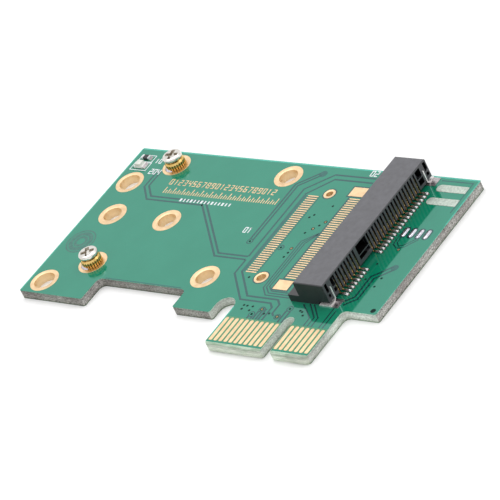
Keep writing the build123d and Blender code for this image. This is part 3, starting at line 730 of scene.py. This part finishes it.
def build_gaps():
    """The gaps beside the traces that the top shows."""
    bm = bmesh.new()
    pairs = [
        ([(-34.1, 29.9), (-23.4, 19.0), (-17.1, 19.0)], 0.36),
        ([(-19.05, 23.1), (-19.05, 36.3), (-16.0, 39.3)], 0.32),
        ([(7.1, 12.0), (8.7, 13.5), (8.7, 18.1), (11.2, 20.6)], 0.4),
        ([(-48.65, 36.2), (-48.65, 32.5), (-46.2, 29.9), (-34.1, 29.9)], 0.4),
        ([(-1.5, 9.0), (-1.5, 6.4)], 0.38),
        ([(-6.55, 8.2), (-6.55, 6.4)], 0.3),
        ([(-7.65, 7.1), (-7.65, 6.4)], 0.35),
    ]
    for line, half in pairs:
        for side in (-1, 1):
            ribbon(bm, shifted(line, side * half), gap_width)
    wide = [
        [(-17.0, 18.6), (-17.0, 15.45), (-12.0, 10.15), (-5.85, 10.15), (-5.0, 9.3), (-5.0, 6.4)],
        [(-17.0, 19.4), (-17.0, 35.55), (-13.2, 39.45), (-4.9, 39.45)],
        [(-16.05, 16.2), (-11.2, 11.05), (-5.0, 11.05), (-4.05, 10.1), (-4.05, 8.1), (-3.5, 7.6)],
        [(-16.05, 34.4), (-12.6, 38.4), (-4.9, 38.4)],
        [(-7.1, 15.5), (-7.1, 34.7)],
        [(-5.75, 8.9), (-5.75, 6.4)],
    ]
    thin = [
        [(0.2, 10.9), (3.25, 8.2), (3.25, 6.4)],
        [(1.4, 11.1), (4.0, 8.4), (4.0, 6.4)],
        [(2.2, 11.1), (4.75, 8.4), (4.75, 6.4)],
        [(6.25, 10.9), (6.25, 6.4)],
        [(6.95, 10.4), (6.95, 6.4)],
    ]
    for lines, width in ((wide, gap_width), (thin, thin_gap_width)):
        for line in lines:
            ribbon(bm, line, width)
    for inset in (0.0, 0.5, 1.0):
        ribbon(bm, [(-7.32, 26.2 - inset * 0.4), (-9.5 + inset, 24.0 - inset * 0.4),
                    (-9.5 + inset, 13.2 + inset * 0.4), (-8.05 + inset * 0.6, 11.7 + inset),
                    (-3.1, 11.7 + inset)], 0.24)
    add_flat(bm, "trace_gaps", mask_gap)


def build_beds():
    """The broader dark places: the strips beside the pad rows and the ends of some traces."""
    bm = bmesh.new()
    ribbon(bm, [(-15.75, 16.1), (-15.75, 34.3)], 0.75, bed_lift)
    ribbon(bm, [(-12.85, 16.1), (-12.85, 34.3)], 0.16, bed_lift)
    for row in ("left", "right"):
        low, high = limits("footprint_pads_" + row)
        flat_shape(bm, rectangle(low[0], high[0], low[1], high[1]), window_lift)
    flat_shape(bm, circle(-15.7, 39.4, 0.75, 20), spot_lift)
    flat_shape(bm, circle(11.3, 20.7, 0.65, 20), spot_lift)
    ribbon(bm, [(7.4, 40.5), (13.45, 40.5), (13.45, 33.6)], 0.26, spot_lift)
    ribbon(bm, [(lobe_right + 1.3, bay_back + 0.22), (bay_right - 1.3, bay_back + 0.22)], 0.2, spot_lift)
    add_flat(bm, "trace_beds", mask_soft)


def build_underside_traces():
    """Traces below, from the lower fingers to the socket's row of through vias."""
    bm = bmesh.new()
    lines = [
        [(-3.5, 6.5), (-3.5, 8.6), (-4.9, 10.0), (-4.9, 17.0)],
        [(-4.5, 6.5), (-4.5, 8.4), (-6.2, 10.1), (-6.2, 25.6), (-7.6, 27.0)],
        [(-7.5, 6.5), (-7.5, 8.8), (-8.4, 9.7), (-8.4, 27.6)],
        [(2.5, 6.5), (2.5, 9.6), (4.2, 11.3), (4.2, 17.8), (7.4, 21.0)],
        [(3.5, 6.5), (3.5, 9.2), (5.3, 11.0), (5.3, 15.2), (7.6, 17.5)],
        [(5.5, 6.5), (5.5, 9.6), (10.2, 14.3), (10.2, 16.2)],
    ]
    for line in lines:
        for side in (-1, 1):
            ribbon(bm, shifted(line, side * 0.26), underside_gap_width, underside - spot_lift)
    bmesh.ops.reverse_faces(bm, faces=bm.faces)
    add_flat(bm, "underside_traces", mask_gap)


def build_vias():
    """Small plated through holes, most of them closed by the mask, drawn as near-black discs, painted shade in
    the holes, and a larger near-black disc at the right, painted shade in a hole as well.
    """
    bm = bmesh.new()
    for x, y in vias + ringed_vias:
        flat_shape(bm, circle(x, y, via_radius, 14), via_lift)
        flat_shape(bm, circle(x, y, via_radius, 14)[::-1], underside - gap_lift)
    for x, y in gold_vias:
        flat_shape(bm, circle(x, y, 0.32, 16), via_lift)
    flat_shape(bm, circle(13.4, 11.35, 0.45, 24), via_lift)
    add_flat(bm, "via_dots", hole_painted_shade)


def build_clearance():
    """The darker lines round some vias, peg holes, anchor pads and short pads, and two curved ones."""
    bm = bmesh.new()
    for x, y in ringed_vias:
        flat_ring(bm, x, y, 0.42, 0.62, ring_lift, 20)
    for node, (_, ring) in peg_holes.items():
        flat_ring(bm, *middle(node), ring, ring + 0.22, ring_lift)
    low, high = limits("footprint_anchor_pads")
    grow = anchor_clearance
    for front, back in ((low[1], low[1] + anchor_pad_depth), (high[1] - anchor_pad_depth, high[1])):
        corners = rectangle(low[0] - grow, high[0] + grow, front - grow, back + grow)
        ribbon(bm, corners, 2 * grow, line_lift, close=True)
    low, high = limits("short_tinned_pads")
    half = short_pad_width / 2 + 0.1
    end = half - 0.01
    for k in range(4):
        x = low[0] + short_pad_width / 2 + short_pad_pitch * k
        outline = rounded_rectangle(x - half, x + half, low[1] - 0.1, high[1] + 0.1, end, end, 6)
        ribbon(bm, outline, 0.24, line_lift, close=True)
    for reach, drop in ((0.0, 0.0), (0.55, 0.45)):
        ribbon(bm, [(8.1 - reach, 27.3), (8.2 - reach * 0.8, 26.0 - drop), (8.9 - reach * 0.3, 25.35 - drop),
                    (9.7 + reach * 0.5, 25.7 - drop), (11.0 + reach, 27.2)], 0.2, line_lift)
    add_flat(bm, "clearance_rings", mask_gap)


def build_via_rims():
    """The gold that shows round the open vias."""
    bm = bmesh.new()
    for x, y in gold_vias:
        flat_ring(bm, x, y, 0.07, 0.18, via_rim_lift, 16)
    add_flat(bm, "via_rims", via_tin)


# Pads, contacts and solder


def build_fine_pads(row):
    """A row of fine pads, each a little narrower than its copper where the mask laps over its long sides."""
    node = "footprint_pads_" + row
    mesh = nodes[node].data.copy()
    mesh.materials.clear()
    sides = sorted({round(card(vert.co)[1], 3) for vert in mesh.vertices})
    middles = [(a + b) / 2 for a, b in zip(sides[::2], sides[1::2])]
    for vert in mesh.vertices:
        x, y, z = card(vert.co)
        centre = min(middles, key=lambda m: abs(m - y))
        vert.co = at(x, centre + (y - centre) * fine_pad_share, z)
    add_piece("fine_pads_" + row, mesh, [gold], [node])


def row_places(node):
    """The Y places of the separate solids of a row of contacts, from the node's mesh."""
    groups = []
    for y in sorted(round(card(vert.co)[1], 3) for vert in nodes[node].data.vertices):
        if groups and y - groups[-1][-1] < 0.3:
            groups[-1].append(y)
        else:
            groups.append([y])
    return [(group[0] + group[-1]) / 2 for group in groups]


def sheet_strip(bm, line, y):
    """A contact: a bent strip of sheet whose middle line lies in XZ."""
    rings = []
    for point, side in zip(line, across(line, sharpest=0.4)):
        over, under = point + side * (contact_sheet / 2), point - side * (contact_sheet / 2)
        section = ((over, -0.5), (over, 0.5), (under, 0.5), (under, -0.5))
        rings.append([bm.verts.new(at(p.x, y + part * contact_width, p.y)) for p, part in section])
    tube(bm, rings)


def solder_joint(bm, heel, toe, y, steps=12, around=8):
    """A domed solder joint over a tail, a little lower towards the toe."""
    rings = []
    for i in range(steps + 1):
        t = 0.02 + 0.96 * i / steps
        x = heel + (toe - heel) * t
        rise = joint_height * sqrt(1 - (2 * t - 1) ** 2) * (1.0 - 0.15 * t)
        width = joint_half * sqrt(1 - (2 * t - 1) ** 4)
        angles = [pi * j / around for j in range(around + 1)]
        rings.append([bm.verts.new(at(x, y - width * cos(a), copper * 0.5 + rise * sin(a))) for a in angles])
    tube(bm, rings)


def build_contacts(row, line, heel, toe):
    """A row of stamped contacts with the solder on their tails, darker at its toe: a painted reflection."""
    contact_bm, joint_bm = bmesh.new(), bmesh.new()
    for y in row_places(row + "_contacts"):
        sheet_strip(contact_bm, eased(line, contact_bend), y)
        solder_joint(joint_bm, heel, toe, y)
    add_solid(contact_bm, row + "_springs", [contact_gold], row + "_contacts", crease=40)
    joints = add_solid(joint_bm, row + "_joints", [solder, toe_painted_reflection], row + "_contact_solder",
                       crease=180)
    # Faces past the share take the dark toe colour: a painted reflection
    for face in joints.data.polygons:
        share = (card(face.center)[0] - heel) / (toe - heel)
        face.material_index = 1 if share > painted_toe_share else 0


def build_upper_contacts():
    """The rear row: spring bow over the card, beam, leg down the rear wall, tail."""
    low, high = limits("upper_contacts")
    face = limits("connector_housing")[1][0]
    leg = face - leg_inset
    line = [(low[0] + tip_inset, 2.6), (bow_x, 2.22), (2.0, upper_beam), (leg, upper_beam), (leg, leg_foot),
            (leg + foot_reach, tail_height), (high[0] - tip_inset, tail_height)]
    build_contacts("upper", line, face + joint_heel, high[0] + joint_toe)


def build_lower_contacts():
    """The front row: tail, leg up the front face, beam in the lower jaw, spring bow."""
    low, high = limits("lower_contacts")
    face = limits("connector_housing")[0][0]
    leg = face + leg_inset
    line = [(low[0] + tip_inset, tail_height), (leg - foot_reach, tail_height), (leg, leg_foot),
            (leg, lower_beam), (bow_x - 0.8, lower_beam), (bow_x, 1.48), (high[0] - 0.08, 0.88)]
    build_contacts("lower", line, face - joint_heel, low[0] - joint_toe)


def build_long_pads():
    """The two long tinned pads, round at their left ends."""
    bm = bmesh.new()
    low, high = limits("long_tinned_pads")
    for front, back in ((low[1], low[1] + long_pad_depth), (high[1] - long_pad_depth, high[1])):
        outline = rounded([(low[0], front, long_pad_round), (high[0], front, long_pad_corner),
                           (high[0], back, long_pad_corner), (low[0], back, long_pad_round)])
        pillow(bm, outline, 0.07, 0.12)
    add_solid(bm, "long_pads", [matt_tin], "long_tinned_pads", crease=40)


def build_short_pads():
    """The four short tinned pads, with round ends."""
    bm = bmesh.new()
    low, high = limits("short_tinned_pads")
    width = short_pad_width - 2 * short_pad_ease
    for k in range(4):
        x = low[0] + short_pad_pitch * k + short_pad_ease
        end = width / 2 - 0.01
        pillow(bm, rounded_rectangle(x, x + width, low[1], high[1], end, end), 0.14, 0.33)
    add_solid(bm, "short_pads", [lilac_tin], "short_tinned_pads", crease=40)


# Standoffs and screws


def knurled(angle, radius):
    """A straight knurl: pointed grooves between rounded ribs, on the body alone."""
    if radius < knurl_radius - 0.02:
        return radius
    return radius - knurl_depth * (1 - abs(cos(angle * knurl_teeth / 2)))


def build_standoff(end):
    """The turned brass standoff, darker in the grooves of its knurl: painted shade."""
    x, y = middle("standoff_" + end)
    bm = bmesh.new()
    profile = [(0.98, -1.1), (1.35, -1.1), (1.35, 0.02), (1.6, 0.04), (knurl_radius, 0.07),
               (knurl_radius, 0.5), (knurl_radius, knurl_z - 0.08), (1.66, knurl_z), (1.52, seat_z - 0.03),
               (1.49, seat_z), (1.06, seat_z), (0.98, seat_z - 0.08), (0.98, -1.1)]
    revolve(bm, profile, x, y, 10 * knurl_teeth, knurled)
    piece = add_solid(bm, "standoff_turned_" + end, [brass, brass_groove_painted_shade], "standoff_" + end,
                      crease=30)
    # Faces in the grooves of the knurl take the near-black brass: painted shade
    for face in piece.data.polygons:
        px, py, pz = card(face.center)
        outer = (px - x) ** 2 + (py - y) ** 2 > 1.5 ** 2
        in_band = 0.06 < pz < knurl_z and abs(face.normal.z) < 0.5 and outer
        groove = abs(cos(atan2(py - y, px - x) * knurl_teeth / 2)) < groove_share
        face.material_index = 1 if in_band and groove else 0


def cross_tool(x, y, turn):
    """The cross-shaped driver that the recess is cut with: it narrows downwards. Its walls give the recess dark
    brown nickel, painted shade, and its floor is bright.
    """
    bm = bmesh.new()
    arm, half = Vector((cross_arm, 0.0)), Vector((0.0, cross_half))
    for quarter in (0, 90):
        spin = Matrix.Rotation(radians(turn + quarter), 2)
        corners = [-arm - half, arm - half, arm + half, -arm + half]
        rings = []
        for z, scale in ((head_high - cross_depth, cross_taper), (head_high + 0.1, 1.1)):
            places = [Vector((x, y)) + spin @ (corner * scale) for corner in corners]
            rings.append(level_points(bm, places, z))
        tube(bm, rings).material_index = 1
    tool = put("cross", mesh_from(bm, "cross"))
    tool.data.materials.append(recess)
    tool.data.materials.append(nickel)
    return tool


def build_screw(end):
    """The nickel-plated screw: rounded head with a cross recess, threaded shank."""
    x, y = middle("screw_" + end)
    bm = bmesh.new()
    profile = [(0.0, head_low - 2.58), (0.7, head_low - 2.58)]
    z = head_low - 2.5
    while z < head_low - thread_pitch:
        profile += [(0.78, z), (0.94, z + thread_pitch / 2)]
        z += thread_pitch
    profile += [(0.8, head_low - 0.06), (0.86, head_low), (head_radius - 0.12, head_low),
                (head_radius, head_low + 0.08), (head_radius, head_high - 0.3)]
    profile += [(head_radius - 0.02 - head_round * (1 - cos(a)), head_high - 0.3 + head_round * sin(a))
                for a in (radians(20), radians(40), radians(60), radians(80))]
    profile += [(0.9, head_high - 0.005), (0.0, head_high)]
    revolve(bm, profile, x, y)
    piece = add_solid(bm, "screw_cross_" + end, [nickel, recess], "screw_" + end)
    carve(piece, [cross_tool(x, y, screw_turns[end])], crossing=True)
    settle(piece, 32)


def build_collar(end):
    """Solder that has wetted up one side of a standoff, with a soft edge."""
    x, y = middle("standoff_" + end)
    bm = bmesh.new()
    start, sweep, steps = radians(168), radians(112), 24
    rings = []
    for i in range(steps + 1):
        t = i / steps
        angle = start + sweep * t
        swell = sin(pi * t) ** 0.5 if 0 < t < 1 else 0.0
        reach, rise = 1.66 + 0.42 * swell, 0.06 + 0.34 * swell
        section = [(1.6, copper * 0.5), (reach, copper * 0.5), (reach - 0.12 * swell, copper + 0.05 * swell),
                   (1.66 + 0.2 * swell, copper + rise * 0.45), (1.64 + 0.04 * swell, copper + rise),
                   (1.6, copper + rise)]
        rings.append([bm.verts.new(at(x + r * cos(angle), y + r * sin(angle), z)) for r, z in section])
    tube(bm, rings)
    add_solid(bm, "collar_" + end, [lilac_tin], "standoff_solder_" + end, crease=180)


# Socket


def box_tool(x0, x1, y0, y1, z0, z1):
    """A box to cut with. Its near-black faces become the windows' walls: painted shade deep in the cells."""
    bm = bmesh.new()
    tube(bm, [level_points(bm, rectangle(x0, x1, y0, y1), z) for z in (z0, z1)])
    tool = put("coring", mesh_from(bm, "coring"))
    tool.data.materials.append(cell_painted_shade)
    return tool


def build_socket():
    """The moulded housing, with the deep coring behind its rear windows, whose walls are painted shade."""
    mesh = nodes["connector_housing"].data.copy()
    mesh.materials.clear()
    piece = add_piece("socket_body", mesh, [socket_black], ["connector_housing"])
    rear = limits("connector_housing")[1][0]
    # Each window's depth, and its limits across and in height
    windows = [
        (2.6, 20.42, 23.12, 2.03, 3.72), (1.8, 20.42, 22.3, 1.15, 1.83),
        (2.2, 37.66, 38.92, 2.25, 3.72), (2.2, 37.72, 38.95, 1.0, 2.04),
        (2.2, 39.92, 40.55, 2.3, 3.66), (2.2, 39.92, 40.5, 1.2, 1.8),
        (2.2, 13.08, 13.68, 2.25, 3.64), (2.2, 13.12, 13.6, 1.15, 1.85),
        (2.2, 11.58, 12.12, 2.3, 3.66), (2.2, 11.62, 12.08, 1.2, 1.8),
    ]
    carve(piece, [box_tool(rear - depth, rear + 1.0, *span) for depth, *span in windows])


def dress_nodes():
    """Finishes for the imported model's own nodes."""
    for part in frame["record"]["subparts"]:
        materials = nodes[part["node"]].data.materials
        materials.clear()
        materials.append(node_finishes.get(part["node"], slot_finishes[part["material_slot"]]))


# Print

digit_frame = [(0.1, 0.1), (0.1, 1.9), (0.9, 1.9), (0.9, 0.1), (0.1, 0.1)]
digit_lines = {
    "0": [digit_frame],
    "1": [[(0.5, 0.0), (0.5, 2.0)], [(0.5, 1.9), (0.15, 1.6)]],
    "2": [[(0.1, 1.9), (0.9, 1.9), (0.9, 1.0), (0.1, 1.0), (0.1, 0.1), (0.95, 0.1)]],
    "3": [[(0.1, 1.9), (0.9, 1.9), (0.9, 0.1), (0.1, 0.1)], [(0.2, 1.0), (0.9, 1.0)]],
    "4": [[(0.1, 2.0), (0.1, 1.0), (0.9, 1.0)], [(0.9, 2.0), (0.9, 0.0)]],
    "5": [[(0.9, 1.9), (0.1, 1.9), (0.1, 1.0), (0.9, 1.0), (0.9, 0.1), (0.05, 0.1)]],
    "6": [[(0.9, 1.9), (0.1, 1.9), (0.1, 0.1), (0.9, 0.1), (0.9, 1.0), (0.1, 1.0)]],
    "7": [[(0.05, 1.9), (0.9, 1.9), (0.45, 0.0)]],
    "8": [digit_frame, [(0.1, 1.0), (0.9, 1.0)]],
    "9": [[(0.9, 1.0), (0.1, 1.0), (0.1, 1.9), (0.9, 1.9), (0.9, 0.1), (0.1, 0.1)]],
}


def write_number(bm, text, x, y, size, width):
    """A plain number, centred on x. Each digit's strokes lie on a grid of one by two."""
    step = size * 0.68
    left = x - (step * (len(text) - 1) + size / 2) / 2
    for index, digit in enumerate(text):
        for line in digit_lines[digit]:
            points = [(left + step * index + px * size / 2, y + py * size / 2) for px, py in line]
            ribbon(bm, points, width, print_lift)


def build_ruler():
    """A plain millimetre scale in bare gold: numbers over ticks at every half millimetre."""
    bm = bmesh.new()
    left, length, foot = -44.2, 24, 31.35
    for k in range(length - 1):
        write_number(bm, str(k % 10), left + k, 33.45, 1.3, 0.17)
    for k in range(2 * length + 1):
        tall = 1.45 if k % 4 == 0 else (1.05 if k % 2 == 0 else 0.7)
        ribbon(bm, [(left + k / 2, foot), (left + k / 2, foot + tall)], 0.19, print_lift)
    add_flat(bm, "scale_print", gold)


def build_legend():
    """White print: outlines round the two chip parts, plain numbers and a row of dashes."""
    bm = bmesh.new()
    for k in range(15):
        x = -39.3 + 0.75 * k
        ribbon(bm, [(x, 29.8), (x, 30.5)], 0.28 if k % 3 else 0.42, print_lift)
    for text, x, y, size in (("01", -21.3, 24.45, 1.25), ("02", -5.9, 39.9, 1.3), ("10", -50.5, 38.05, 1.15),
                             ("204", -49.5, 35.4, 1.25)):
        write_number(bm, text, x, y, size, 0.2)
    for span in ((-55.0, -51.9, 39.75, 38.15), (-55.2, -51.75, 36.05, 37.95)):
        ribbon(bm, rectangle(*span), 0.16, print_lift, close=True)
    add_flat(bm, "legend_print", print_white)


def build_round_mark():
    """The faint round mark near the left edge, as three plain rings."""
    bm = bmesh.new()
    for inner, outer in ((0.75, 1.3), (1.45, 2.25), (2.45, 2.75)):
        flat_ring(bm, -52.3, 18.2, inner, outer, gap_lift, 48)
    add_flat(bm, "round_mark", stamp)


# Stage


def build_floor():
    """A plain pale floor, a little brighter to the camera, also in reflections and through clear things."""
    mesh = bpy.data.meshes.new("floor")
    corners = rectangle(-floor_half, floor_half, -floor_half, floor_half)
    mesh.from_pydata([(x, y, 0) for x, y in corners], [], [(0, 1, 2, 3)])
    floor = put("floor", mesh)
    floor.location.z = -floor_drop
    material, tree, shader = new_material("floor")
    tint = ramp(tree, noise(tree, 60.0), [(0.4, (0.86, 0.86, 0.86)), (0.6, (0.88, 0.88, 0.88))])
    tree.links.new(tint, shader.inputs["Base Color"])
    shader.inputs["Roughness"].default_value = 0.8
    rays = tree.nodes.new("ShaderNodeLightPath").outputs
    seen = combine(tree, "MAXIMUM", rays["Is Camera Ray"], rays["Is Glossy Ray"])
    seen = combine(tree, "MAXIMUM", seen, rays["Is Transmission Ray"])
    lift = stretch(tree, seen, 0.0, 1.0, 0.0, floor_lift)
    shader.inputs["Emission Color"].default_value = (1.0, 1.0, 1.0, 1.0)
    tree.links.new(lift, shader.inputs["Emission Strength"])
    mesh.materials.append(material)


def build_world():
    """A plain white studio dome."""
    world = bpy.data.worlds.new("studio")
    bpy.context.scene.world = world
    world.use_nodes = True
    back = world.node_tree.nodes["Background"]
    back.inputs["Color"].default_value = (1.0, 1.0, 1.0, 1.0)
    back.inputs["Strength"].default_value = dome_strength


def add_light(name, place, size, power):
    """A soft square lamp that points at the object."""
    lamp = bpy.data.lights.new(name, "AREA")
    lamp.size = size
    lamp.energy = power
    holder = put(name, lamp)
    holder.location = place
    holder.rotation_euler = (-Vector(place)).to_track_quat("-Z", "Y").to_euler()


def build_camera():
    """The camera, at the photograph's viewing angle."""
    turn, lift, roll = radians(view_azimuth), radians(view_elevation), radians(view_roll)
    back = Vector((sin(turn) * cos(lift), -cos(turn) * cos(lift), sin(lift)))
    level = Vector((cos(turn), sin(turn), 0.0))
    right = level * cos(roll) - back.cross(level) * sin(roll)
    data = bpy.data.cameras.new("camera")
    data.lens = lens
    data.sensor_width = sensor
    data.clip_start = 0.01
    data.clip_end = 20.0
    camera = put("camera", data)
    basis = Matrix((right, back.cross(right), back)).transposed().to_4x4()
    camera.matrix_world = Matrix.Translation(Vector(view_aim) + back * view_distance) @ basis
    bpy.context.scene.camera = camera


# Everything, in order

build_board()
build_rings()
build_rim()
build_fingers()
build_gaps()
build_beds()
build_underside_traces()
build_vias()
build_clearance()
build_via_rims()
build_fine_pads("left")
build_fine_pads("right")
build_upper_contacts()
build_lower_contacts()
build_long_pads()
build_short_pads()
for standoff_end in screw_turns:
    build_standoff(standoff_end)
    build_screw(standoff_end)
for standoff_end in screw_turns:
    build_collar(standoff_end)
build_socket()
dress_nodes()
build_ruler()
build_legend()
build_round_mark()

build_floor()
build_world()
add_light("key", key_place, key_size, key_power)
add_light("fill", fill_place, fill_size, fill_power)
build_camera()
bpy.context.scene.view_settings.view_transform = "Standard"
